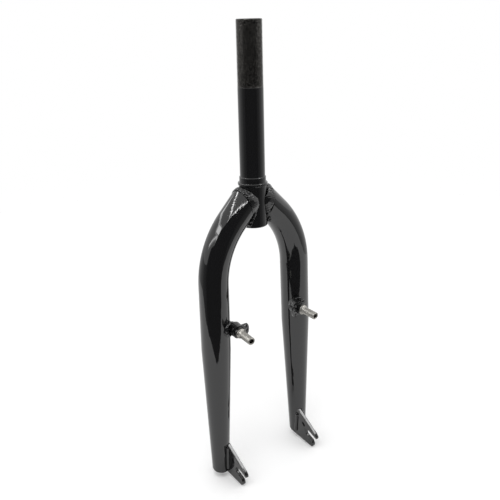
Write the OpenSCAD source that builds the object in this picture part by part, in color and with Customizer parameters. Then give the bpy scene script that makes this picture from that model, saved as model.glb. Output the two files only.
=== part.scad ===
// A steel BMX front fork with a one inch threaded steerer, bent and tapered legs,
// rim brake bosses and slotted dropout plates. Millimetres.
// The origin is on the steerer's axis, at the shoulder that the headset's crown race sits on.
// +Z points up the steerer and -Y points forward. The left leg, as the rider sits, is at +X.

/* [Steerer] */
// Outside diameter of the steerer and of its thread
steerer_d = 25.4; // [22:0.1:28]
// Length of the steerer above the shoulder
steerer_len = 156; // [130:1:220]
// Bore of the steerer, which takes the handlebar stem
bore_d = 22.2; // [18:0.1:23.5]
// Length of the threaded stretch at the top
thread_len = 62.5; // [30:0.5:80]
// Width of the key slot in the back of the thread
key_w = 3.2; // [2:0.1:5]
// Depth of the key slot
key_depth = 0.8; // [0.4:0.1:1]
// Length of the key slot, down from the top
key_len = 48; // [20:1:60]
// Diameter of the seat that the crown race is pressed onto
seat_d = 27; // [26:0.1:29]
// Height of the crown race seat
seat_h = 6; // [4:0.5:10]
// Diameter of the shoulder under the crown race
shoulder_d = 30.2; // [29:0.1:34]
// Height of the shoulder
shoulder_h = 2.4; // [1:0.1:5]
// Diameter of the steerer's foot, where the legs are welded on
foot_d = 28.6; // [27:0.1:30]
// Length of the foot below the top of the shoulder
foot_len = 45.5; // [38:0.5:60]

/* [Legs] */
// Diameter of the leg tubes
leg_d = 31; // [26:0.1:34]
// Wall of the leg tubes
leg_wall = 2; // [1.2:0.1:3]
// Diameter of each leg at the axle's height, at the thin end of its taper
leg_end_d = 19.2; // [17:0.1:24]
// Drop from the shoulder to where the taper starts
taper_drop = 168; // [150:1:220]
// Angle between the top of a leg and the steerer
crown_angle = 46; // [40:0.5:54]
// Drop from the shoulder to where the legs' centre lines meet
meet_drop = 8.5; // [6:0.5:14]
// Radius of the bend, at the tube's centre line
bend_r = 87.7; // [70:0.1:110]
// Outward slope of the straight part of a leg
splay = 0.75; // [0:0.05:2]
// Forward slope of the legs
lean = 0.6; // [0:0.05:2]
// Thickness of the cap that closes the end of a leg
cap_t = 2.6; // [1.5:0.1:4]

/* [Dropouts] */
// Distance between the dropout plates, where the hub fits
hub_w = 101; // [90:0.5:115]
// Drop from the shoulder to the axle
axle_drop = 306; // [280:0.5:340]
// Distance of the axle in front of the steerer's axis
rake = 29.5; // [25:0.1:36]
// Thickness of the dropout plates
plate_t = 4; // [3:0.1:5]
// Distance from a plate's middle out to its leg's centre line
leg_out = 5.4; // [4:0.1:7]
// Width of the axle slot
slot_w = 8; // [7.4:0.1:9.4]
// Slope of the axle slot below the level
slot_slope = 24.5; // [18:0.5:30]
// Slope of the plate's upper edge
top_slope = 36; // [30:1:40]
// Slope of the plate's lower edge and of the end of the leg
foot_slope = 9.3; // [5:0.1:14]
// Width of the slotted hole for the hub's safety washer
tab_w = 2.4; // [2:0.1:3]

/* [Brake bosses] */
// Distance between the tips of the two brake studs
stud_gap = 88.8; // [80:0.1:96]
// Drop from the shoulder to the tips of the studs
stud_drop = 147.5; // [130:0.5:160]
// Reach of the studs' tips in front of the steerer's axis
stud_reach = 46.8; // [40:0.1:55]
// Outward slope of the studs
stud_splay = 3.7; // [0:0.1:6]
// Downward slope of the studs
stud_droop = 5.8; // [0:0.1:8]
// Diameter of the pin that a brake arm turns on
pin_d = 8; // [7:0.1:9]
// Diameter of the threaded hole in the pin
pin_bore_d = 5; // [4:0.1:6]
// Depth of the threaded hole
pin_bore_len = 16; // [10:1:24]
// Length of the pin, in front of its collar
pin_len = 17.2; // [14:0.1:20]
// Diameter of the collar behind the pin
collar_d = 10.8; // [10:0.1:11.8]
// Thickness of the collar
collar_t = 2.4; // [2:0.1:5]
// Diameter of the boss's narrow front, against the collar
nose_d = 12; // [11.8:0.1:13]
// Length of the boss's narrow front
nose_len = 2.4; // [1:0.1:4]
// Diameter of the boss that carries the stud, behind the spring plate
boss_d = 14.2; // [13:0.1:15.4]
// Diameter of the boss's back end
boss_back_d = 15.4; // [13:0.1:16.4]
// Length of the boss, from the spring plate's front to its back end
boss_len = 9; // [7:0.1:10]
// Thickness of the spring plate
spring_t = 2.4; // [1.6:0.1:4]
// Radius of the spring plate's outer edge
spring_r = 12.3; // [11.8:0.1:14]
// Height of the spring plate
spring_h = 13.4; // [13:0.1:16]
// Radius that the spring holes lie on
spring_hole_r = 9.2; // [9:0.1:10]
// Diameter of the spring holes
spring_hole_d = 2.8; // [2:0.1:3]

/* [Welds] */
// Distance from the steerer's axis to the middle of a leg's cut end
mitre_x = 15; // [14.5:0.1:17]
// Slope of a leg's cut end, away from upright
mitre_tilt = 18.4; // [14:0.1:22]
// Radius of the rounded weld between a leg's cut end and the foot
crown_ball_r = 16.4; // [16.3:0.1:17]
// Thickness of the crown weld at its lowest point, on the leg
crown_bead = 3.6; // [2:0.1:4]
// Step of the crown weld above the leg's surface
crown_step = 0.4; // [0.3:0.1:1]
// Radius of a boss's weld behind the boss
boss_neck_r = 6.4; // [5:0.1:7]
// Sideways turn of a boss's weld, towards the middle of its leg
boss_neck_turn = 46; // [40:1:50]
// Radius of the weld's patch on the leg behind a boss
boss_patch_r = 8.9; // [8:0.1:9.6]
// Thickness of that patch
boss_patch_t = 2.2; // [1:0.1:2.8]
// Radius of the outer weld bead that holds a dropout plate
outer_bead_r = 2.8; // [2:0.1:3.2]
// Height of that bead's upper end above the axle
outer_bead_rise = 21; // [14:0.5:23]
// Radius of the inner weld bead that holds a dropout plate
inner_bead_r = 2.2; // [1.6:0.1:2.6]
// Height of the inner bead's upper end above the axle
inner_bead_rise = 17; // [12:0.5:21]

/* [Hidden] */
$fn = 72;

// Gap between a curved face and the piece that is welded against it
fit = 0.1;
// Overrun of every cut
cut = 1;
// Side of the blocks that trim the pieces, larger than anything that they cut
block = 4 * leg_d;

// Chamfers of the turned edges
edge = 0.6;
key_y = steerer_d / 2 - key_depth;

// Each leg is drawn in a plane: x is outwards, z is up, and the two straight parts meet at a corner.
leg_r = leg_d / 2;
end_r = leg_end_d / 2;
plate_x = hub_w / 2 + plate_t / 2;
leg_axle_x = plate_x + leg_out;
corner_z = -(leg_axle_x - axle_drop * tan(splay) + meet_drop * tan(crown_angle))
           / (tan(crown_angle) - tan(splay));
corner_x = -(corner_z + meet_drop) * tan(crown_angle);
bend_turn = crown_angle - splay;
bend_run = bend_r * tan(bend_turn / 2);
crown_run = corner_x / sin(crown_angle);
// Depth of the tongues below the faces of the leg's wall, and their length
skin = 0.2;
tongue = 1;
taper_from = (taper_drop + corner_z) / cos(splay);
axle_from = (axle_drop + corner_z) / cos(splay);
// The legs are drawn longer than they are, and the foot plane cuts them off
end_from = axle_from + leg_end_d;
taper_rate = (leg_r - end_r) / (axle_from - taper_from);
function leg_r_at(from) = leg_r - taper_rate * (from - taper_from);

// The sloping foot plane ends the plates. The legs' caps end just above it.
foot_drop = axle_drop + 9;
cap_r = leg_r_at(axle_from + 6) - 0.2;
cap_edge = cap_t * 0.7;
cap_up = 0.5;
leg_foot_x = leg_axle_x + (foot_drop - axle_drop) * tan(splay);
leg_foot_y = -foot_drop * tan(lean);

// The outline of a plate, in y and z from the axle, for the plate on either side.
plate_top_y = -12;
plate_top_z = -axle_drop + 24.5;
slot_top_z = plate_top_z + 2;
tip_y = -rake - 13.4;
// Drop of the beads' lower ends below the axle
bead_low = 4;

collar_back = pin_len + collar_t;
boss_front = collar_back + nose_len;
boss_back = boss_front + boss_len;
boss_patch_in = 7.2;
boss_patch_back = 3.4;
mitre_z = -meet_drop - mitre_x / tan(crown_angle);
crown_ball_x = mitre_x - 3.1;
crown_ball_z = mitre_z + 3.2;
crown_bead_top = mitre_z - 4.6;
crown_reach = 3.4;
crown_split = 3;
sleeve_len = 34;

// Half of the fork, for the side at +X or, with side below 0, the other one
module on_side(side) {
    mirror([side < 0 ? 1 : 0, 0, 0])
        children();
}

// The plane of a leg, turned forward with the legs' lean
module leg_plane() {
    rotate([-lean, 0, 0])
        children();
}

// A frame whose origin is the leg's corner and whose z runs up the straight part
module lower_run() {
    translate([corner_x, 0, corner_z])
        rotate([0, -splay, 0])
            children();
}

// The same for the short straight part that meets the steerer
module crown_part() {
    translate([corner_x, 0, corner_z])
        rotate([0, -crown_angle, 0])
            children();
}

// A solid leg, made larger all round by grow. A negative grow gives its bore.
module leg_solid(grow = 0) {
    leg_plane() {
        lower_run() {
            translate([0, 0, -taper_from])
                cylinder(r = leg_r + grow, h = taper_from - bend_run);
            translate([0, 0, -end_from])
                cylinder(r1 = leg_r_at(end_from) + grow, r2 = leg_r + grow, h = end_from - taper_from);
            translate([-bend_r, 0, -bend_run])
                rotate([90, 0, 0])
                    rotate_extrude(angle = bend_turn, $fn = 144)
                        translate([bend_r, 0])
                            circle(r = leg_r + grow);
        }
        crown_part()
            translate([0, 0, bend_run])
                cylinder(r = leg_r + grow, h = crown_run - bend_run);
    }
}

// The leg as an open tube. Each straight part has a thin tongue inside the wall of the bend.
module leg_tube() {
    leg_plane() {
        lower_run() {
            rotate_extrude()
                polygon([
                    [leg_r_at(end_from) - leg_wall, -end_from],
                    [leg_r_at(end_from), -end_from],
                    [leg_r, -taper_from],
                    [leg_r, -bend_run],
                    [leg_r - skin, -bend_run],
                    [leg_r - skin, -bend_run + tongue],
                    [leg_r - leg_wall + skin, -bend_run + tongue],
                    [leg_r - leg_wall + skin, -bend_run],
                    [leg_r - leg_wall, -bend_run],
                    [leg_r - leg_wall, -taper_from]
                ]);
            translate([-bend_r, 0, -bend_run])
                rotate([90, 0, 0])
                    rotate_extrude(angle = bend_turn, $fn = 144)
                        translate([bend_r, 0])
                            difference() {
                                circle(r = leg_r);
                                circle(r = leg_r - leg_wall);
                            }
        }
        crown_part()
            rotate_extrude()
                polygon([
                    [leg_r - leg_wall, bend_run],
                    [leg_r - leg_wall + skin, bend_run],
                    [leg_r - leg_wall + skin, bend_run - tongue],
                    [leg_r - skin, bend_run - tongue],
                    [leg_r - skin, bend_run],
                    [leg_r, bend_run],
                    [leg_r, crown_run],
                    [leg_r - leg_wall, crown_run]
                ]);
    }
}

// Everything below the sloping foot plane, raised by up
module below_foot(up = 0) {
    translate([0, 0, up - foot_drop])
        rotate([foot_slope, 0, 0])
            translate([0, -block / 2, -block])
                cube(block);
}

// The outline of a dropout plate, seen from the side: y to the right and z up
module plate_outline() {
    difference() {
        polygon([
            [0, -foot_drop],
            [0, slot_top_z],
            [plate_top_y, plate_top_z],
            [tip_y + 6, plate_top_z + (tip_y + 6 - plate_top_y) * tan(top_slope)],
            [tip_y + 2.4, -axle_drop + 4],
            [tip_y + 0.5, -axle_drop + 1.2],
            [tip_y, -axle_drop - 1],
            [tip_y + 3, -axle_drop - 6],
            [tip_y + 7.4, -axle_drop - 7],
            [tip_y + 5.9, -axle_drop - 9.8],
            [tip_y + 5.6, -axle_drop - 11.8],
            [tip_y + 6.2, -axle_drop - 13.8],
            [tip_y + 7.6, -foot_drop + (tip_y + 7.6) * tan(foot_slope)]
        ]);
        translate([-rake, -axle_drop])
            circle(d = slot_w);
        translate([-rake, -axle_drop])
            rotate(slot_slope)
                translate([-block, -slot_w / 2])
                    square([block, slot_w]);
        tab_hole();
    }
}

// The slotted hole above the axle slot
module tab_hole() {
    translate([-rake + 8, -axle_drop + 8.9])
        rotate(top_slope + 13) {
            translate([-1.6, -tab_w / 2])
                square([3.2, tab_w]);
            for (end = [-1.6, 1.6])
                translate([end, 0])
                    circle(d = tab_w);
        }
}

// A plate's outline stood up in its place and grown sideways by grow
module plate_blank(grow = 0) {
    translate([plate_x - plate_t / 2 - grow, 0, 0])
        rotate([90, 0, 90])
            linear_extrude(plate_t + 2 * grow)
                plate_outline();
}

// The room that a plate needs in the welds beside it
module plate_room() {
    translate([plate_x - plate_t / 2 - fit, -block, -foot_drop - block / 2])
        cube([plate_t + 2 * fit, block, block]);
}

// The slot in a leg that takes the back of its plate
module plate_slot() {
    translate([plate_x - plate_t / 2 - fit, fit - block, slot_top_z + fit - block])
        cube([plate_t + 2 * fit, block, block]);
}

// A frame at the tip of a brake stud, with z running out of the tip and x inboard
module stud_frame() {
    translate([stud_gap / 2, -stud_reach, -stud_drop])
        rotate([0, 0, stud_splay])
            rotate([90 + stud_droop, 0, 0])
                rotate([0, 0, 180])
                    children();
}

// The room that the steerer's foot needs in the pieces around it
module foot_room() {
    translate([0, 0, -2 * foot_len])
        cylinder(d = foot_d + 2 * fit, h = 4 * foot_len);
}

// The straight part of a leg's top, made wider by high at its upper end and by low at its lower
module crown_sleeve(high, low) {
    leg_plane()
        crown_part()
            translate([0, 0, crown_run - sleeve_len])
                cylinder(r1 = leg_r + low, r2 = leg_r + high, h = sleeve_len);
}

// Everything on the steerer's side of a leg's cut end
module inside_mitre() {
    translate([mitre_x, 0, mitre_z])
        rotate([0, mitre_tilt, 0])
            translate([-block, -block / 2, -block / 2])
                cube(block);
}

module steerer_tube() {
    color("#1b1b1c")
        difference() {
            rotate_extrude()
                polygon([
                    [bore_d / 2, -foot_len],
                    [foot_d / 2 - edge, -foot_len],
                    [foot_d / 2, -foot_len + edge],
                    [foot_d / 2, -shoulder_h - (shoulder_d - foot_d) / 2],
                    [shoulder_d / 2, -shoulder_h],
                    [shoulder_d / 2, -edge],
                    [shoulder_d / 2 - edge, 0],
                    [seat_d / 2, 0],
                    [seat_d / 2, seat_h - edge],
                    [seat_d / 2 - edge, seat_h],
                    [steerer_d / 2, seat_h],
                    [steerer_d / 2, steerer_len - edge],
                    [steerer_d / 2 - edge, steerer_len],
                    [bore_d / 2, steerer_len]
                ]);
            translate([-key_w / 2, key_y, steerer_len - key_len])
                cube([key_w, steerer_d, key_len + cut]);
        }
}

module leg(side) {
    color("#17181a")
        on_side(side)
            difference() {
                leg_tube();
                foot_room();
                inside_mitre();
                below_foot(cap_up + cap_t);
                plate_slot();
            }
}

module leg_cap(side) {
    color("#1d1e20")
        on_side(side)
            difference() {
                translate([leg_foot_x, leg_foot_y, cap_up - foot_drop + leg_foot_y * tan(foot_slope)])
                    rotate([foot_slope, 0, 0]) {
                        cylinder(r1 = cap_r - 1.4 * cap_edge, r2 = cap_r, h = cap_edge);
                        translate([0, 0, cap_edge])
                            cylinder(r = cap_r, h = cap_t - cap_edge);
                    }
                plate_slot();
            }
}

module dropout(side) {
    color("#232425")
        on_side(side)
            plate_blank();
}

// The thick part of a boss, from its back end to the spring plate
module boss_body(grow = 0) {
    translate([0, 0, -boss_back])
        cylinder(r1 = boss_back_d / 2 + grow, r2 = boss_d / 2 + grow, h = boss_len - spring_t);
}

module brake_boss(side) {
    color("#17181a")
        on_side(side)
            difference() {
                stud_frame() {
                    translate([0, 0, -boss_back])
                        cylinder(d = nose_d, h = boss_back - collar_back);
                    boss_body();
                }
                leg_solid(fit);
            }
}

// The spring plate reaches inboard from the boss and has three holes for the brake's spring
module spring_plate(side) {
    color("#1c1d1f")
        on_side(side)
            stud_frame()
                translate([0, 0, -boss_front - spring_t])
                    linear_extrude(spring_t)
                        difference() {
                            union() {
                                circle(d = boss_d);
                                intersection() {
                                    circle(r = spring_r);
                                    translate([1, -spring_h / 2])
                                        square([spring_r, spring_h]);
                                }
                            }
                            circle(d = nose_d + 2 * fit);
                            for (turn = [-30, 0, 30])
                                rotate(turn)
                                    translate([spring_hole_r, 0])
                                        circle(d = spring_hole_d, $fn = 32);
                        }
}

module brake_stud(side) {
    color("#a9a8a2")
        on_side(side)
            stud_frame()
                rotate_extrude()
                    polygon([
                        [0, -collar_back],
                        [collar_d / 2, -collar_back],
                        [collar_d / 2, -pin_len - edge],
                        [collar_d / 2 - edge, -pin_len],
                        [pin_d / 2 + 0.8, -pin_len],
                        [pin_d / 2, -pin_len + 2],
                        [pin_d / 2, -edge],
                        [pin_d / 2 - edge, 0],
                        [pin_bore_d / 2, 0],
                        [pin_bore_d / 2, -pin_bore_len],
                        [0, -pin_bore_len - pin_bore_d / 4]
                    ]);
}

module crown_weld(side) {
    color("#1a1b1d")
        on_side(side)
            difference() {
                intersection() {
                    union() {
                        intersection() {
                            translate([crown_ball_x, 0, crown_ball_z])
                                sphere(r = crown_ball_r, $fn = 96);
                            inside_mitre();
                            crown_sleeve(crown_step, crown_step);
                        }
                        intersection() {
                            crown_sleeve(-1.6, crown_bead);
                            translate([0, 0, -foot_len])
                                cylinder(r = foot_d / 2 + crown_reach, h = foot_len + crown_bead_top);
                        }
                    }
                    translate([crown_split, -block / 2, -foot_len])
                        cube([block, block, foot_len - shoulder_h - 1]);
                }
                difference() {
                    leg_solid(fit);
                    inside_mitre();
                }
                leg_solid(-leg_wall);
                foot_room();
            }
}

// A short neck behind a boss, turned towards its leg, and a thin patch on the leg around it
module boss_weld(side) {
    color("#1a1b1d")
        on_side(side)
            difference() {
                union() {
                    stud_frame()
                        intersection() {
                            translate([0, 0, -boss_back])
                                rotate([0, boss_neck_turn, 0])
                                    translate([0, 0, -10])
                                        cylinder(r1 = boss_neck_r + 1, r2 = boss_neck_r, h = 17);
                            translate([0, 0, -boss_back - 40])
                                cylinder(d = boss_back_d, h = 40);
                        }
                    intersection() {
                        leg_solid(boss_patch_t);
                        stud_frame()
                            translate([-boss_patch_in, 0, -boss_back - boss_patch_back])
                                sphere(r = boss_patch_r);
                    }
                }
                leg_solid(fit);
                stud_frame()
                    boss_body(fit);
            }
}

// One bead of radius bead_r down the corner between a plate's face and the front of the leg,
// from rise above the axle to just below it
module plate_bead(face_x, bead_r, rise) {
    top = axle_from - rise;
    low = axle_from + bead_low;
    x_top = face_x - corner_x - top * sin(splay);
    x_low = face_x - corner_x - low * sin(splay);
    y_top = -sqrt(pow(leg_r_at(top), 2) - pow(x_top, 2));
    y_low = -sqrt(pow(leg_r_at(low), 2) - pow(x_low, 2));
    leg_plane()
        lower_run() {
            translate([x_top, y_top, -top])
                sphere(r = bead_r, $fn = 48);
            translate([x_low, y_low, -low])
                sphere(r = bead_r, $fn = 48);
            translate([x_low, y_low, -low])
                rotate([-atan2(y_top - y_low, low - top), atan2(x_top - x_low, low - top), 0])
                    cylinder(r = bead_r, h = low - top, $fn = 48);
        }
}

module outer_weld(side) {
    color("#1a1b1d")
        on_side(side)
            difference() {
                plate_bead(plate_x + plate_t / 2, outer_bead_r, outer_bead_rise);
                leg_solid(fit);
                plate_room();
            }
}

module inner_weld(side) {
    color("#1a1b1d")
        on_side(side)
            difference() {
                plate_bead(plate_x - plate_t / 2, inner_bead_r, inner_bead_rise);
                leg_solid(fit);
                plate_room();
            }
}

steerer_tube();
leg(1);  // leg_left
leg(-1);  // leg_right
leg_cap(1);  // leg_cap_left
leg_cap(-1);  // leg_cap_right
dropout(1);  // dropout_left
dropout(-1);  // dropout_right
brake_boss(1);  // brake_boss_left
brake_boss(-1);  // brake_boss_right
spring_plate(1);  // spring_plate_left
spring_plate(-1);  // spring_plate_right
brake_stud(1);  // brake_stud_left
brake_stud(-1);  // brake_stud_right
crown_weld(1);  // crown_weld_left
crown_weld(-1);  // crown_weld_right
boss_weld(1);  // boss_weld_left
boss_weld(-1);  // boss_weld_right
outer_weld(1);  // outer_weld_left
outer_weld(-1);  // outer_weld_right
inner_weld(1);  // inner_weld_left
inner_weld(-1);  // inner_weld_right
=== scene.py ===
import math

import bmesh
import bpy
from mathutils import Matrix, Vector, noise


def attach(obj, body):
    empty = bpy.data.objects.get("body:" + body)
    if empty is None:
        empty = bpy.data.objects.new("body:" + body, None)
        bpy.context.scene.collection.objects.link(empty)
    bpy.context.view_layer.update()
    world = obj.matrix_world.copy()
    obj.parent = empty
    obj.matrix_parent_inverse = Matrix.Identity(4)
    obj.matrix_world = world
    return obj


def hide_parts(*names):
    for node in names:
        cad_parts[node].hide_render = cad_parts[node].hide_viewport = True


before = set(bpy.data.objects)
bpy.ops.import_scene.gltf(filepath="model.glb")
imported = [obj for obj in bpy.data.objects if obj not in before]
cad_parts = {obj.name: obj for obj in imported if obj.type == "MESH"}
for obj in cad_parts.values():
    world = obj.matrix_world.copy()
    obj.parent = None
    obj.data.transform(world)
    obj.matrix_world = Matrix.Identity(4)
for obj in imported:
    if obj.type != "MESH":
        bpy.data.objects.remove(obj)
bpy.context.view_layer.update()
print("frame loaded:", len(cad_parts), "solids")

scene = bpy.context.scene
mm = 0.001  # all shapes below are drawn in millimetres and scaled once, when a piece is finished
sides = {"left": 1, "right": -1}


# Colours and nodes

def toLinear(hexColour):
    parts = [int(hexColour[i:i + 2], 16) / 255 for i in (1, 3, 5)]
    return [c / 12.92 if c <= 0.04045 else ((c + 0.055) / 1.055) ** 2.4 for c in parts] + [1.0]


def addNode(tree, kind, settings=None, links=None):
    made = tree.nodes.new(kind)
    for key, value in (settings or {}).items():
        if key in made.inputs:
            made.inputs[key].default_value = value
        else:
            setattr(made, key, value)
    for key, source in (links or {}).items():
        tree.links.new(source, made.inputs[key])
    return made


def addTone(tree, pattern, *stops):  # a pattern's colours, from its low places to its high ones
    tone = addNode(tree, "ShaderNodeValToRGB", None, {"Fac": pattern.outputs["Fac"]})
    for stop, (position, colour) in zip(tone.color_ramp.elements, stops):
        stop.position = position
        stop.color = toLinear(colour)
    return tone


def startMaterial(name):
    material = bpy.data.materials.new(name)
    material.use_nodes = True
    tree = material.node_tree
    tree.nodes.clear()
    place = addNode(tree, "ShaderNodeTexCoord")
    return material, tree, place.outputs["Object"]


def endMaterial(tree, shader):
    addNode(tree, "ShaderNodeOutputMaterial", None, {"Surface": shader.outputs[0]})


# Sprayed and baked black enamel over steel. It is nearly black and glossy, so it shows little but what it mirrors,
# and the faint orange peel of the spray bends the edges of those reflections: about 3 mm from crest to crest, over a
# slower wave of 9 mm.
def makePaint():
    material, tree, place = startMaterial("blackEnamel")
    wave = addNode(tree, "ShaderNodeTexNoise", {"Scale": 1 / (9 * mm), "Detail": 0.0}, {"Vector": place})
    peel = addNode(tree, "ShaderNodeTexNoise", {"Scale": 1 / (3.2 * mm), "Detail": 1.0, "Roughness": 0.4},
                   {"Vector": place})
    low = addNode(tree, "ShaderNodeBump", {"Strength": 0.3, "Distance": 0.12 * mm}, {"Height": wave.outputs["Fac"]})
    high = addNode(tree, "ShaderNodeBump", {"Strength": 0.3, "Distance": 0.045 * mm},
                   {"Height": peel.outputs["Fac"], "Normal": low.outputs["Normal"]})
    dust = addNode(tree, "ShaderNodeMapRange", {"From Min": 0.35, "From Max": 0.7, "To Min": 0.03, "To Max": 0.07},
                   {"Value": peel.outputs["Fac"]})
    shader = addNode(tree, "ShaderNodeBsdfPrincipled",
                     {"Base Color": toLinear("#0d0d0e"), "IOR": 1.6},
                     {"Roughness": dust.outputs["Result"], "Normal": high.outputs["Normal"]})
    endMaterial(tree, shader)
    return material


# Machined steel left in its dark oil and oxide, as a rolled or cut thread comes off the line. Stains and nicks about
# 2 mm wide break up its dull shine.
def makeOxide():
    material, tree, place = startMaterial("oxidisedSteel")
    stain = addNode(tree, "ShaderNodeTexNoise", {"Scale": 1 / (1.8 * mm), "Detail": 2.0, "Roughness": 0.6},
                    {"Vector": place})
    tone = addTone(tree, stain, (0.35, "#333231"), (0.75, "#6b6966"))
    nicks = addNode(tree, "ShaderNodeBump", {"Strength": 0.3, "Distance": 0.06 * mm},
                    {"Height": stain.outputs["Fac"]})
    shader = addNode(tree, "ShaderNodeBsdfPrincipled",
                     {"Metallic": 0.85, "Roughness": 0.22},
                     {"Base Color": tone.outputs["Color"], "Normal": nicks.outputs["Normal"]})
    endMaterial(tree, shader)
    return material


# Free-cutting steel, turned on a lathe and left bare. The tool leaves rings about 0.2 mm apart, drawn at 0.4 mm so
# that they show. A wave texture of scale 1 repeats every 0.314 m.
def makeTurned(axis, centre):
    material, tree, place = startMaterial("turnedSteel")
    line = addNode(tree, "ShaderNodeMapping", {"vector_type": "TEXTURE"}, {"Vector": place})
    line.inputs["Location"].default_value = centre
    line.inputs["Rotation"].default_value = axis.to_track_quat("Z", "Y").to_euler()
    rings = addNode(tree, "ShaderNodeTexWave",
                    {"bands_direction": "Z", "Scale": 0.314 / (0.4 * mm), "Distortion": 0.6, "Detail": 1.0},
                    {"Vector": line.outputs["Vector"]})
    stain = addNode(tree, "ShaderNodeTexNoise", {"Scale": 1 / (3 * mm), "Detail": 3.0}, {"Vector": place})
    tone = addTone(tree, stain, (0.0, "#94928d"), (1.0, "#a9a7a2"))
    ridges = addNode(tree, "ShaderNodeBump", {"Strength": 0.06, "Distance": 0.02 * mm},
                     {"Height": rings.outputs["Fac"]})
    shader = addNode(tree, "ShaderNodeBsdfPrincipled",
                     {"Metallic": 1.0, "Roughness": 0.45},
                     {"Base Color": tone.outputs["Color"], "Normal": ridges.outputs["Normal"]})
    endMaterial(tree, shader)
    return material


# Making pieces

def finishPiece(name, bm, nodes, material, sharpAngle=32):
    bmesh.ops.scale(bm, vec=(mm, mm, mm), verts=bm.verts)
    mesh = bpy.data.meshes.new(name)
    for face in bm.faces:
        face.smooth = True
    bm.to_mesh(mesh)
    bm.free()
    mesh.set_sharp_from_angle(angle=math.radians(sharpAngle))
    mesh.materials.append(material)
    piece = bpy.data.objects.new(name, mesh)
    scene.collection.objects.link(piece)
    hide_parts(*nodes)
    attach(piece, "root")


def nodeCopy(nodeName):  # a CAD node's mesh in millimetres, with its loose triangles joined
    bm = bmesh.new()
    bm.from_mesh(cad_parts[nodeName].data)
    bmesh.ops.scale(bm, vec=(1 / mm, 1 / mm, 1 / mm), verts=bm.verts)
    bmesh.ops.remove_doubles(bm, verts=bm.verts, dist=0.002)
    bmesh.ops.dissolve_limit(bm, angle_limit=math.radians(0.6), verts=bm.verts, edges=bm.edges)
    return bm


def roundEdges(bm, width, minAngle=35, segments=3, keep=lambda edge: True):
    chosen = [edge for edge in bm.edges
              if len(edge.link_faces) == 2 and edge.calc_face_angle(0) > math.radians(minAngle) and keep(edge)]
    bmesh.ops.bevel(bm, geom=chosen, offset=width, offset_type="OFFSET", affect="EDGES", segments=segments,
                    profile=0.5, material=-1, clamp_overlap=True, loop_slide=True)


def applyModifier(bm, kind, settings):
    mesh = bpy.data.meshes.new("work")
    bm.to_mesh(mesh)
    bm.free()
    worker = bpy.data.objects.new("work", mesh)
    scene.collection.objects.link(worker)
    modifier = worker.modifiers.new("work", kind)
    for key, value in settings.items():
        setattr(modifier, key, value)
    shaped = bpy.data.meshes.new_from_object(worker.evaluated_get(bpy.context.evaluated_depsgraph_get()))
    bpy.data.objects.remove(worker)
    bpy.data.meshes.remove(mesh)
    result = bmesh.new()
    result.from_mesh(shaped)
    bpy.data.meshes.remove(shaped)
    return result


def cutWith(bm, cutter):  # takes one closed shape out of another
    mesh = bpy.data.meshes.new("cutter")
    cutter.to_mesh(mesh)
    cutter.free()
    tool = bpy.data.objects.new("cutter", mesh)
    scene.collection.objects.link(tool)
    result = applyModifier(bm, "BOOLEAN", {"operation": "DIFFERENCE", "solver": "EXACT", "object": tool})
    bpy.data.objects.remove(tool)
    bpy.data.meshes.remove(mesh)
    return result


def turnProfile(bm, points, steps):  # spins points (radius, height) about Z; a radius of 0 closes an end
    rim = [bm.verts.new((r, 0, z)) for r, z in points]
    edges = [bm.edges.new((a, b)) for a, b in zip(rim, rim[1:])]
    bmesh.ops.spin(bm, geom=rim + edges, cent=(0, 0, 0), axis=(0, 0, 1), angle=2 * math.pi, steps=steps,
                   use_merge=True, use_duplicate=False)
    bmesh.ops.remove_doubles(bm, verts=bm.verts, dist=0.0005)
    bmesh.ops.recalc_face_normals(bm, faces=bm.faces)


def helixWall(run, steps):  # a screw thread's wall, wound from below the run to past it and cut level at both ends
    crest, root, pitch = run["crest"], run["crest"] - run["depth"], run["pitch"]
    flank = run["depth"] * math.tan(math.radians(30))
    flat = (pitch - 2 * flank) * run["crestShare"]
    start = run["low"] - 1.5 * pitch
    count = steps * (math.ceil((run["high"] - start) / pitch) + 2)
    outline = [(root, 0), (crest, flank), (crest, flank + flat), (root, 2 * flank + flat)]
    bm = bmesh.new()
    rows = []
    for step in range(count + 1):
        turn, up = 2 * math.pi * step / steps, start + pitch * step / steps
        rows.append([bm.verts.new((r * math.cos(turn), r * math.sin(turn), up + z)) for r, z in outline])
    for step, (here, there) in enumerate(zip(rows, rows[1:])):
        for low in range(3):
            bm.faces.new((here[low], there[low], there[low + 1], here[low + 1]))
        if step + steps < count:
            bm.faces.new((here[3], there[3], rows[step + steps + 1][0], rows[step + steps][0]))
    for height, outer, inner in ((run["low"], False, True), (run["high"], True, False)):
        bmesh.ops.bisect_plane(bm, geom=bm.verts[:] + bm.edges[:] + bm.faces[:], plane_co=(0, 0, height),
                               plane_no=(0, 0, 1), clear_outer=outer, clear_inner=inner, dist=0.0005)
    bmesh.ops.remove_doubles(bm, verts=bm.verts, dist=0.002)
    bmesh.ops.recalc_face_normals(bm, faces=bm.faces)
    return bm


def endLoop(bm, height):
    return [edge for edge in bm.edges if edge.is_boundary and all(abs(v.co.z - height) < 0.01 for v in edge.verts)]


def extrudeTo(bm, edges, radius=None, height=None):  # carries an open rim to another radius or height, or both
    grown = bmesh.ops.extrude_edge_only(bm, edges=edges)["geom"]
    for vert in (v for v in grown if isinstance(v, bmesh.types.BMVert)):
        if radius is not None:
            wide = math.hypot(vert.co.x, vert.co.y)
            vert.co.x, vert.co.y = vert.co.x / wide * radius, vert.co.y / wide * radius
        if height is not None:
            vert.co.z = height
    return [e for e in grown if isinstance(e, bmesh.types.BMEdge) and e.is_boundary]


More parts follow.
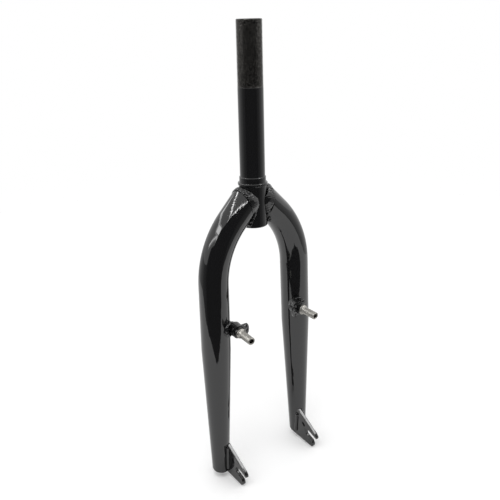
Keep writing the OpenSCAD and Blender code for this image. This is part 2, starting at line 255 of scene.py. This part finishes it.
# Steerer: the painted tube, and its bare thread as a piece that carries on from it
steerer = {
    "radius": 12.7, "bore": 11.1, "top": 156.0, "bottom": -45.5, "threadLow": 93.5,
    "seat": 13.5, "seatTop": 6.0, "shoulder": 15.1, "shoulderDrop": 2.4, "foot": 14.3,
    "edge": 0.6, "hold": 0.8, "neckEdge": (0.3, 0.35), "mouthEdge": 0.3, "round": 0.35, "steps": 144,
    "roundTo": 90.0, "pitch": 25.4 / 24, "depth": 0.5, "crestShare": 0.72, "threadSteps": 72,
    "wear": 0.25, "wearScale": 0.55, "wearMore": 0.1, "runOut": 0.1, "runOutTurns": 2.2,
    "keyWide": 3.2, "keyDeep": 0.8, "keyLong": 48.0,
}


def makeSteerer(paint, oxide):
    s = steerer
    edge, bottom, drop, seatTop = s["edge"], s["bottom"], s["shoulderDrop"], s["seatTop"]
    lean = s["shoulder"] - s["foot"]
    neckIn, neckDown = s["neckEdge"]
    bm = bmesh.new()
    turnProfile(bm, [  # the two points with hold in them keep the foot's long wall straight to the light
        (s["bore"], bottom), (s["foot"] - edge, bottom), (s["foot"], bottom + edge),
        (s["foot"], bottom + edge + s["hold"]), (s["foot"], -drop - lean - s["hold"]),
        (s["foot"], -drop - lean), (s["shoulder"], -drop), (s["shoulder"], -edge), (s["shoulder"] - edge, 0),
        (s["seat"], 0), (s["seat"], seatTop - edge), (s["seat"] - edge, seatTop), (s["radius"], seatTop),
        (s["radius"], s["threadLow"] - neckDown), (s["radius"] - neckIn, s["threadLow"]),
        (s["bore"], s["threadLow"]), (s["bore"], bottom)], s["steps"])
    roundEdges(bm, s["round"], minAngle=12,  # all but the bore's edges and the joint with the thread
               keep=lambda e: min(v.co.xy.length for v in e.verts) > s["bore"] + 1 and e.verts[0].co.z < s["roundTo"])
    finishPiece("steererTube", bm, ["steerer_tube"], paint, 40)

    run = {"crest": s["radius"], "depth": s["depth"], "pitch": s["pitch"], "crestShare": s["crestShare"],
           "low": s["threadLow"], "high": s["top"]}
    bm = helixWall(run, s["threadSteps"])
    root = s["radius"] - s["depth"]
    for vert in bm.verts:  # worn crests, chamfered at the top, and a root that runs out at the bottom
        wear = s["wear"] * max(noise.noise(vert.co * s["wearScale"]) + s["wearMore"], 0)
        wide = math.hypot(vert.co.x, vert.co.y) - wear
        chamfer = root + s["top"] - vert.co.z
        turns = (vert.co.z - s["threadLow"]) / s["pitch"]
        runOut = s["radius"] - s["runOut"] - s["depth"] * min(turns / s["runOutTurns"], 1)
        wanted = min(max(wide, runOut), chamfer)
        vert.co.xy = vert.co.xy.normalized() * wanted
    rim = extrudeTo(bm, endLoop(bm, s["top"]), radius=s["bore"] + s["mouthEdge"])
    rim = extrudeTo(bm, rim, radius=s["bore"], height=s["top"] - s["mouthEdge"])
    rim = extrudeTo(bm, rim, height=s["threadLow"])
    bmesh.ops.bridge_loops(bm, edges=endLoop(bm, s["threadLow"]))
    bmesh.ops.recalc_face_normals(bm, faces=bm.faces)
    key = bmesh.new()
    over, high = 2, 6  # the cutter stands out past the top and the side
    bmesh.ops.create_cube(key, size=1)
    bmesh.ops.scale(key, vec=(s["keyWide"], high, s["keyLong"] + over), verts=key.verts)
    bmesh.ops.translate(key, vec=(0, s["radius"] - s["keyDeep"] + high / 2, s["top"] - (s["keyLong"] - over) / 2),
                        verts=key.verts)
    bm = cutWith(bm, key)
    finishPiece("steererThread", bm, ["steerer_tube"], oxide, 28)
    print("steerer made")


# Legs: the foot's ring is carried up the taper, round the bend and into the crown, then cut at the crown weld's edge,
# at the cap, and where the steerer passes
leg = {
    "radius": 15.5, "endRadius": 9.6, "taperDrop": 168.0, "axleDrop": 306.0, "axleX": 57.9,
    "crownAngle": 46.0, "meetDrop": 8.5, "bendRadius": 87.7, "splay": 0.75, "lean": 0.6,
    "mitreX": 15.0, "mitreTilt": 18.4, "footRadius": 14.4, "footSlope": 9.3, "footDrop": 315.0, "capTop": 3.1,
    "past": 18.0, "cutterLong": 120.0, "round": 128, "bendSteps": 64,
}


def legFrame():
    g = leg
    crown, splay = math.radians(g["crownAngle"]), math.radians(g["splay"])
    cornerZ = -(g["axleX"] - g["axleDrop"] * math.tan(splay) + g["meetDrop"] * math.tan(crown)) / (
        math.tan(crown) - math.tan(splay))
    cornerX = -(cornerZ + g["meetDrop"]) * math.tan(crown)
    turn = crown - splay
    place = (Matrix.Rotation(-math.radians(g["lean"]), 4, "X") @ Matrix.Translation((cornerX, 0, cornerZ))
             @ Matrix.Rotation(-splay, 4, "Y"))
    return {"place": place, "turn": turn, "bend": g["bendRadius"] * math.tan(turn / 2),
            "crown": cornerX / math.sin(crown), "taper": (g["taperDrop"] + cornerZ) / math.cos(splay),
            "axle": (g["axleDrop"] + cornerZ) / math.cos(splay)}


def makeLeg(side, word, paint):
    g, f = leg, legFrame()
    end = f["axle"] + g["past"]
    thin = g["radius"] - (g["radius"] - g["endRadius"]) * (end - f["taper"]) / (f["axle"] - f["taper"])
    bm = bmesh.new()
    bmesh.ops.create_circle(bm, segments=g["round"], radius=thin, cap_ends=False)
    bmesh.ops.translate(bm, vec=(0, 0, -end), verts=bm.verts)
    rim = bm.edges[:]
    for height, radius in ((-f["taper"], g["radius"]), (-f["bend"], g["radius"])):
        rim = extrudeTo(bm, rim, radius=radius, height=height)
    spun = bmesh.ops.spin(bm, geom=rim + list({v for e in rim for v in e.verts}),
                          cent=(-g["bendRadius"], 0, -f["bend"]), axis=(0, -1, 0), angle=f["turn"],
                          steps=g["bendSteps"], use_merge=False, use_duplicate=False)
    rim = [e for e in spun["geom_last"] if isinstance(e, bmesh.types.BMEdge)]
    grown = bmesh.ops.extrude_edge_only(bm, edges=rim)["geom"]
    run = f["crown"] - f["bend"]
    bmesh.ops.translate(bm, vec=(-math.sin(f["turn"]) * run, 0, math.cos(f["turn"]) * run),
                        verts=[v for v in grown if isinstance(v, bmesh.types.BMVert)])
    bmesh.ops.transform(bm, matrix=f["place"], verts=bm.verts)
    tilt, slope = math.radians(g["mitreTilt"]), math.radians(g["footSlope"])
    mitreZ = -g["meetDrop"] - g["mitreX"] / math.tan(math.radians(g["crownAngle"]))
    for point, normal in (((g["mitreX"], 0, mitreZ), (math.cos(tilt), 0, -math.sin(tilt))),
                          ((0, 0, g["capTop"] - g["footDrop"]), (0, -math.sin(slope), math.cos(slope)))):
        cut = bmesh.ops.bisect_plane(bm, geom=bm.verts[:] + bm.edges[:] + bm.faces[:], plane_co=point,
                                     plane_no=normal, clear_inner=True, dist=0.0001)
        bmesh.ops.contextual_create(bm, geom=[e for e in cut["geom_cut"] if isinstance(e, bmesh.types.BMEdge)])
    bmesh.ops.recalc_face_normals(bm, faces=bm.faces)
    foot = bmesh.new()
    bmesh.ops.create_cone(foot, cap_ends=True, segments=steerer["steps"], radius1=g["footRadius"],
                          radius2=g["footRadius"], depth=g["cutterLong"])
    bm = cutWith(bm, foot)
    if side < 0:
        bmesh.ops.scale(bm, vec=(-1, 1, 1), verts=bm.verts)
        bmesh.ops.reverse_faces(bm, faces=bm.faces)
    finishPiece("leg" + word.title(), bm, ["leg_" + word], paint, 30)


# Leg caps: flat discs, welded in and dressed to a sloping rim
cap = {"round": 0.8}


def makeCap(word, paint):
    bm = nodeCopy("leg_cap_" + word)
    roundEdges(bm, cap["round"], minAngle=25)
    finishPiece("legCap" + word.title(), bm, ["leg_cap_" + word], paint)


# Dropout plates: blanked from 4 mm sheet. The punch rolls each edge over on one side and pits it, leaves a crease,
# and tears the rest a little. Cuts, crease, creaseFrom and creaseTo are measured from the plate's middle. The crease
# and the tear each have a depth and a share of the noise that is added to it.
plate = {
    "round": 0.3, "middle": 52.5, "half": 1.95, "cuts": (-1.5, -0.9, -0.68, 0.0, 0.7, 1.3), "step": 0.45,
    "rolled": 0.3, "pits": 0.3, "crease": -0.9, "creaseFrom": -0.95, "creaseTo": -0.63,
    "creaseDeep": (0.18, 0.24), "tearDeep": (0.104, 0.234), "toothScale": (0.9, 1.3, 1.3),
}


def makePlate(side, word, paint):
    p = plate
    bm = nodeCopy("dropout_" + word)
    middle = side * p["middle"]
    for deep in p["cuts"]:
        bmesh.ops.bisect_plane(bm, geom=bm.verts[:] + bm.edges[:] + bm.faces[:], plane_co=(middle + deep, 0, 0),
                               plane_no=(1, 0, 0), dist=0.0001)
    roundEdges(bm, p["round"], minAngle=60, keep=lambda e: abs(e.verts[0].co.x - e.verts[1].co.x) < 0.001)
    for edge in list(bm.edges):
        level = abs(edge.verts[0].co.x - edge.verts[1].co.x) < 0.001
        if level and abs(edge.verts[0].co.x - middle) < p["half"]:
            cuts = int(edge.calc_length() / p["step"])
            if cuts > 0:
                bmesh.ops.subdivide_edges(bm, edges=[edge], cuts=cuts, use_grid_fill=False)
    for vert in bm.verts:
        out = vert.normal.copy()
        out.x = 0
        deep = vert.co.x - middle
        if out.length < 0.3:  # it lies on a flat face
            continue
        out.normalize()
        teeth = noise.noise(Vector((deep, vert.co.y, vert.co.z)) * Vector(p["toothScale"]))
        if deep < p["creaseFrom"]:
            vert.co -= out * (p["rolled"] * (p["crease"] - deep) + p["pits"] * max(teeth, 0))
        else:
            even, rough = p["creaseDeep"] if deep < p["creaseTo"] else p["tearDeep"]
            vert.co -= out * (even + rough * teeth)
    bmesh.ops.recalc_face_normals(bm, faces=bm.faces)
    finishPiece("dropout" + word.title(), bm, ["dropout_" + word], paint, 30)


# Brake bosses and their spring plates
boss = {"round": 0.4, "plateRound": 0.3}


def makeBoss(word, paint):
    bm = nodeCopy("brake_boss_" + word)
    roundEdges(bm, boss["round"], minAngle=40)
    finishPiece("brakeBoss" + word.title(), bm, ["brake_boss_" + word], paint)
    bm = nodeCopy("spring_plate_" + word)
    roundEdges(bm, boss["plateRound"], minAngle=50)
    finishPiece("springPlate" + word.title(), bm, ["spring_plate_" + word], paint)


# Brake studs: turned, with a wide chamfer at the bore's mouth
stud = {
    "pin": 4.0, "bore": 2.5, "boreDeep": 16.0, "pinLong": 17.2, "collar": 5.4, "collarThick": 2.4, "edge": 0.6,
    "flare": 0.8, "flareLong": 2.0, "mouth": 3.15, "mouthDeep": 0.7, "bored": 2.55, "round": 0.25, "steps": 96,
    "tip": (44.4, -46.8, -147.5), "splay": 3.7, "droop": 5.8,
}


def studPlace(side):
    s = stud
    x, y, z = s["tip"]
    flip = Matrix.Diagonal((side, 1, 1, 1))
    return (flip @ Matrix.Translation((x, y, z)) @ Matrix.Rotation(math.radians(s["splay"]), 4, "Z")
            @ Matrix.Rotation(math.radians(90 + s["droop"]), 4, "X") @ Matrix.Rotation(math.pi, 4, "Z"))


def makeStud(side, word):
    s = stud
    place = studPlace(side)
    back = -s["pinLong"] - s["collarThick"]
    bm = bmesh.new()
    turnProfile(bm, [
        (0, back), (s["collar"], back), (s["collar"], -s["pinLong"] - s["edge"]),
        (s["collar"] - s["edge"], -s["pinLong"]), (s["pin"] + s["flare"], -s["pinLong"]),
        (s["pin"], -s["pinLong"] + s["flareLong"]), (s["pin"], -s["edge"]), (s["pin"] - s["edge"], 0),
        (s["mouth"], 0), (s["bored"], -s["mouthDeep"]), (s["bored"], -s["boreDeep"]),
        (0, -s["boreDeep"] - s["bore"] / 2)], s["steps"])
    roundEdges(bm, s["round"], minAngle=15, keep=lambda e: min(v.co.xy.length for v in e.verts) > 3)
    bmesh.ops.transform(bm, matrix=place, verts=bm.verts)
    if side < 0:
        bmesh.ops.reverse_faces(bm, faces=bm.faces)
    axis = (place.to_3x3() @ Vector((0, 0, 1))).normalized()
    steel = makeTurned(axis, Vector(place.translation) * mm)
    finishPiece("brakeStud" + word.title(), bm, ["brake_stud_" + word], steel)


# Welds: each starts from its CAD solid as one skin of even small faces and is smoothed like a puddle that has set. It
# gets the torch's ripples as real steps, and the crown welds also get lumps, and a crease where they meet the leg.
# The ripples wander by a share of a noise and at that noise's scale.
weld = {
    "voxel": 0.36, "beadVoxel": 0.28, "smooth": 5, "level": 0.6, "beadLevel": 0.5,
    "crownPitch": 2.6, "crownRise": 0.6, "crownSkew": 0.35, "crownWander": (0.35, 0.35),
    "quiet": 0.3, "fade": 0.45, "least": 0.12, "lumps": 0.9, "lumpScale": 0.4, "toeDeep": 0.55, "toeWide": 0.7,
    "bossPitch": 3.0, "bossRise": 0.45, "bossRadius": 8.5, "bossSkew": 0.4, "bossWander": (0.4, 0.4),
    "beadPitch": 1.5, "beadRise": 0.1, "beadWander": (0.3, 0.5),
}


def ripple(phase):  # one rounded scale after another, with a crease between them
    part = phase - math.floor(phase)
    return 1 - (2 * part - 1) ** 2


def wander(place, share, scale):
    return share * noise.noise(place * scale)


def makeWeld(nodeName, paint, voxel, rise):  # rise gives each point's way out along the skin's normal
    bm = nodeCopy(nodeName)
    bm = applyModifier(bm, "REMESH", {"mode": "VOXEL", "voxel_size": voxel})
    for _ in range(weld["smooth"]):
        bmesh.ops.smooth_vert(bm, verts=bm.verts, factor=0.5, use_axis_x=True, use_axis_y=True, use_axis_z=True)
    bm.normal_update()
    for vert in bm.verts:
        vert.co += vert.normal * rise(vert.co)
    first, second, word = nodeName.split("_")
    finishPiece(first + second.title() + word.title(), bm, [nodeName], paint, 60)


def makeCrownWeld(side, word, paint):
    w, g = weld, leg
    crown, tilt = math.radians(g["crownAngle"]), math.radians(g["mitreTilt"])
    centre = Vector((g["mitreX"] * side, 0, -g["meetDrop"] - g["mitreX"] / math.tan(crown)))
    along = Vector((side * math.sin(crown), 0, -math.cos(crown)))
    up = Vector((side * math.cos(crown), 0, math.sin(crown)))
    mitre = Vector((side * math.cos(tilt), 0, -math.sin(tilt)))

    def rise(place):
        out = place - centre
        turn = math.atan2(out.dot(up), -out.y)
        strength = min(max((abs(math.sin(turn)) - w["quiet"]) / w["fade"], w["least"]), 1)
        toe = out.dot(mitre) / w["toeWide"]
        phase = (turn * g["radius"] / w["crownPitch"] + w["crownSkew"] * abs(out.dot(along))
                 + wander(place, *w["crownWander"]))
        steps = w["crownRise"] * (ripple(phase) - w["level"]) + w["lumps"] * noise.noise(place * w["lumpScale"])
        return strength * steps - w["toeDeep"] * math.exp(-toe * toe)

    makeWeld("crown_weld_" + word, paint, w["voxel"], rise)


def makeBossWeld(side, word, paint):
    w = weld
    inverse = studPlace(side).inverted()

    def rise(place):
        local = inverse @ place
        turn = math.atan2(local.y, local.x)
        phase = (turn * w["bossRadius"] / w["bossPitch"] + w["bossSkew"] * local.z
                 + wander(place, *w["bossWander"]))
        return w["bossRise"] * (ripple(phase) - w["level"])

    makeWeld("boss_weld_" + word, paint, w["voxel"], rise)


def makeBead(nodeName, paint):
    w = weld

    def rise(place):
        phase = place.z / w["beadPitch"] + wander(place, *w["beadWander"])
        return w["beadRise"] * (ripple(phase) - w["beadLevel"])

    makeWeld(nodeName, paint, w["beadVoxel"], rise)


# The camera's place and angle were solved from the photograph
camera = {"azimuth": -39.00653, "elevation": 19.347409, "roll": -1.510197, "distance": 692.63911,
          "lens": 49.343, "shiftRight": -2.728927, "shiftUp": -69.362148}


def makeCamera():
    c = camera
    azimuth, elevation, roll = (math.radians(c[key]) for key in ("azimuth", "elevation", "roll"))
    back = Vector((math.sin(azimuth) * math.cos(elevation), -math.cos(azimuth) * math.cos(elevation),
                   math.sin(elevation)))
    level = Vector((math.cos(azimuth), math.sin(azimuth), 0))
    upright = back.cross(level)
    right = math.cos(roll) * level + math.sin(roll) * upright
    up = math.cos(roll) * upright - math.sin(roll) * level
    place = (back * c["distance"] + right * c["shiftRight"] + up * c["shiftUp"]) * mm
    data = bpy.data.cameras.new("camera")
    data.sensor_width, data.lens = 36, c["lens"]
    data.clip_start, data.clip_end = 0.01, 100
    made = bpy.data.objects.new("camera", data)
    made.matrix_world = Matrix.Translation(place) @ Matrix((right, up, back)).transposed().to_4x4()
    scene.collection.objects.link(made)
    scene.camera = made


# A white room and a pale floor. Gloss alone also sees a dark flag that lies round the fork and stands up in front of
# it, and the studio's lights. The flag is a painted reflection: a sheet that blocks no light and glows, dark in front
# and paler round the back, to paint the room's shade into what the gloss mirrors. The flag's tables go by azimuth, in
# degrees from straight in front: where it begins, in millimetres, and how high it reaches, as an elevation seen from
# the shoulder. Its glow goes by the angle away from its middle.
studio = {
    "floorDrop": 321.2, "floorWide": 12.0, "fadeFrom": 0.6, "fadeTo": 1.6, "shoulderDrop": 20.0,
    "flagFar": 1500.0, "flagStep": 3, "flagMiddle": -39.0,
    "flagNear": [(-180, 900), (-140, 750), (-119, 600), (-105, 480), (-80, 417), (-68, 381), (-45, 305), (-32, 301),
                 (-3, 365), (6, 460), (14, 520), (17, 700), (21, 800), (100, 800), (150, 900), (180, 900)],
    "flagTop": [(-180, 1), (-110, 1), (-98, 3), (-96, 20), (-76, 24), (-73, 38), (-62, 42), (-52, 46), (-45, 50),
                (-37, 48), (-28, 44), (-19, 38), (-11, 32), (-3, 25), (10, 20), (22, 18), (30, 6), (40, 1), (180, 1)],
    "flagGlow": [(0, 0.065), (50, 0.065), (56, 0.14), (76, 0.23), (82, 0.37), (101, 0.53), (109, 0.65), (180, 0.85)],
    "lampSize": 1.2, "lampWatts": 9.0, "lampPlace": (-0.7, -0.5, 1.6), "lampAim": (0.0, 0.0, -0.2),
}

# Each light is a round tube through these places, in millimetres
lights = [
    {"name": "tubeLeft", "thick": 2.6, "glow": 18,
     "path": [(-193, 411, 394), (-266, 289, 454), (-312, 166, 484), (-333, 46, 496), (-337, -72, 491),
              (-330, -157, 476), (-335, -227, 446), (-363, -263, 407)]},
    {"name": "tubeRight", "thick": 2.6, "glow": 18,
     "path": [(-47, -554, 245), (-121, -508, 306), (-176, -457, 354), (-231, -388, 400), (-271, -325, 428),
              (-300, -271, 445), (-327, -249, 440), (-363, -263, 407)]},
    {"name": "sideHalo", "thick": 150, "glow": 2.6,
     "path": [(-1185, -300, 900), (-1185, 60, 950), (-1110, 450, 940), (-970, 660, 960)]},
    {"name": "sideStrip", "thick": 85, "glow": 8,
     "path": [(-1021, -260, 784), (-1022, 48, 822), (-955, 385, 810)]},
    {"name": "sideTail", "thick": 50, "glow": 4.5,
     "path": [(-955, 385, 810), (-833, 568, 829), (-646, 786, 811), (-278, 1106, 617), (-159, 1172, 532)]},
    {"name": "lowHalo", "thick": 110, "glow": 2.2,
     "path": [(-1310, -290, 740), (-1290, -90, 800), (-1325, 390, 675), (-1260, 780, 430)]},
    {"name": "lowStrip", "thick": 40, "glow": 6,
     "path": [(-1130, -250, 640), (-1112, -79, 690), (-1142, 333, 582), (-1085, 672, 373)]},
    {"name": "softBox", "thick": 110, "glow": 9,
     "path": [(520, -510, 1060), (677, -580, 890), (960, -560, 790)]},
]


def emitter(name, strength, dimming=None):
    material, tree, place = startMaterial(name)
    glow = addNode(tree, "ShaderNodeEmission", {"Color": toLinear("#ffffff"), "Strength": strength})
    if dimming:  # brightness by the angle away from the flag's middle
        turn = math.radians(studio["flagMiddle"])
        flat = addNode(tree, "ShaderNodeVectorMath", {"operation": "MULTIPLY"}, {0: place})
        flat.inputs[1].default_value = (1, 1, 0)
        way = addNode(tree, "ShaderNodeVectorMath", {"operation": "NORMALIZE"}, {0: flat.outputs["Vector"]})
        facing = addNode(tree, "ShaderNodeVectorMath", {"operation": "DOT_PRODUCT"}, {0: way.outputs["Vector"]})
        facing.inputs[1].default_value = (math.sin(turn), -math.cos(turn), 0)
        share = addNode(tree, "ShaderNodeMapRange", {"From Min": -1.0, "From Max": 1.0},
                        {"Value": facing.outputs["Value"]})
        ramp = addNode(tree, "ShaderNodeValToRGB", None, {"Fac": share.outputs["Result"]})
        stops = ramp.color_ramp.elements
        stops.remove(stops[1])
        for angle, level in reversed(dimming):
            spot = (math.cos(math.radians(angle)) + 1) / 2
            stop = stops.new(spot) if spot > 0 else stops[0]
            stop.color = (level, level, level, 1)
        tree.links.new(ramp.outputs["Color"], glow.inputs["Color"])
    endMaterial(tree, glow)
    return material


def stagePiece(name, bm, material, glossOnly):
    bmesh.ops.scale(bm, vec=(mm, mm, mm), verts=bm.verts)
    mesh = bpy.data.meshes.new(name)
    bm.to_mesh(mesh)
    bm.free()
    mesh.materials.append(material)
    made = bpy.data.objects.new(name, mesh)
    scene.collection.objects.link(made)
    if glossOnly:
        made.visible_camera = made.visible_diffuse = made.visible_shadow = made.visible_transmission = False


def readAt(table, spot):  # a straight-line reading between a table's rows
    for (a, first), (b, last) in zip(table, table[1:]):
        if a <= spot <= b:
            return first + (last - first) * (spot - a) / (b - a)


def makeFloor():
    s = studio
    material, tree, place = startMaterial("paleFloor")
    matt = addNode(tree, "ShaderNodeBsdfPrincipled",
                   {"Base Color": toLinear("#fbfbfb"), "Roughness": 0.9, "Specular IOR Level": 0.0})
    clear = addNode(tree, "ShaderNodeBsdfTransparent")
    away = addNode(tree, "ShaderNodeVectorMath", {"operation": "LENGTH"}, {0: place})
    fade = addNode(tree, "ShaderNodeMapRange",
                   {"interpolation_type": "SMOOTHSTEP", "From Min": s["fadeFrom"], "From Max": s["fadeTo"]},
                   {"Value": away.outputs["Value"]})
    mixed = addNode(tree, "ShaderNodeMixShader", None,
                    {0: fade.outputs["Result"], 1: matt.outputs["BSDF"], 2: clear.outputs["BSDF"]})
    endMaterial(tree, mixed)
    bm = bmesh.new()
    bmesh.ops.create_grid(bm, x_segments=1, y_segments=1, size=s["floorWide"] / mm / 2)
    bmesh.ops.translate(bm, vec=(0, 0, -s["floorDrop"]), verts=bm.verts)
    stagePiece("floor", bm, material, False)


def makePaintedReflectionFlag():
    s = studio
    low = 1 - s["floorDrop"]
    bm = bmesh.new()
    rows = []
    for azimuth in range(-180, 180, s["flagStep"]):
        turn = math.radians(azimuth)
        x, y = math.sin(turn), -math.cos(turn)
        near, far = readAt(s["flagNear"], azimuth), s["flagFar"]
        height = far * math.tan(math.radians(readAt(s["flagTop"], azimuth))) - s["shoulderDrop"]
        rows.append([bm.verts.new((r * x, r * y, z)) for r, z in ((near, low), (far, low), (far, height))])
    for here, there in zip(rows, rows[1:] + rows[:1]):
        for lower in range(2):
            bm.faces.new((here[lower], there[lower], there[lower + 1], here[lower + 1]))
    # painted reflection: the flag glows by angle, from dark in front to paler round the back, and only gloss sees it
    stagePiece("flag", bm, emitter("flagPaintedReflection", 1.0, s["flagGlow"]), True)


def makeStudio():
    makeFloor()
    makePaintedReflectionFlag()
    for light in lights:
        bm = bmesh.new()
        points = [Vector(point) for point in light["path"]]
        for a, b in zip(points, points[1:]):
            turned = (b - a).to_track_quat("Z", "Y").to_matrix().to_4x4()
            bmesh.ops.create_cone(bm, cap_ends=True, segments=16, radius1=light["thick"], radius2=light["thick"],
                                  depth=(b - a).length, matrix=Matrix.Translation((a + b) / 2) @ turned)
        stagePiece(light["name"], bm, emitter(light["name"] + "Glass", light["glow"]), True)

    lamp = bpy.data.lights.new("softLamp", "AREA")
    lamp.shape, lamp.size, lamp.energy = "DISK", studio["lampSize"], studio["lampWatts"]
    lampPlace = bpy.data.objects.new("softLamp", lamp)
    spot = Vector(studio["lampPlace"])
    aim = (spot - Vector(studio["lampAim"])).to_track_quat("Z", "Y")
    lampPlace.matrix_world = Matrix.Translation(spot) @ aim.to_matrix().to_4x4()
    lampPlace.visible_glossy = False
    scene.collection.objects.link(lampPlace)

    world = bpy.data.worlds.new("whiteRoom")
    scene.world = world
    world.use_nodes = True
    sky = world.node_tree.nodes["Background"]
    sky.inputs["Color"].default_value = toLinear("#ffffff")
    sky.inputs["Strength"].default_value = 1.0
    scene.view_settings.view_transform = "Standard"
    print("studio made")


makeCamera()
makeStudio()
paint, oxide = makePaint(), makeOxide()
makeSteerer(paint, oxide)
for word, side in sides.items():
    makeLeg(side, word, paint)
    makeCap(word, paint)
    makePlate(side, word, paint)
    makeBoss(word, paint)
    makeStud(side, word)
    makeCrownWeld(side, word, paint)
    makeBossWeld(side, word, paint)
    makeBead("outer_weld_" + word, paint)
    makeBead("inner_weld_" + word, paint)
    print(word, "side made")
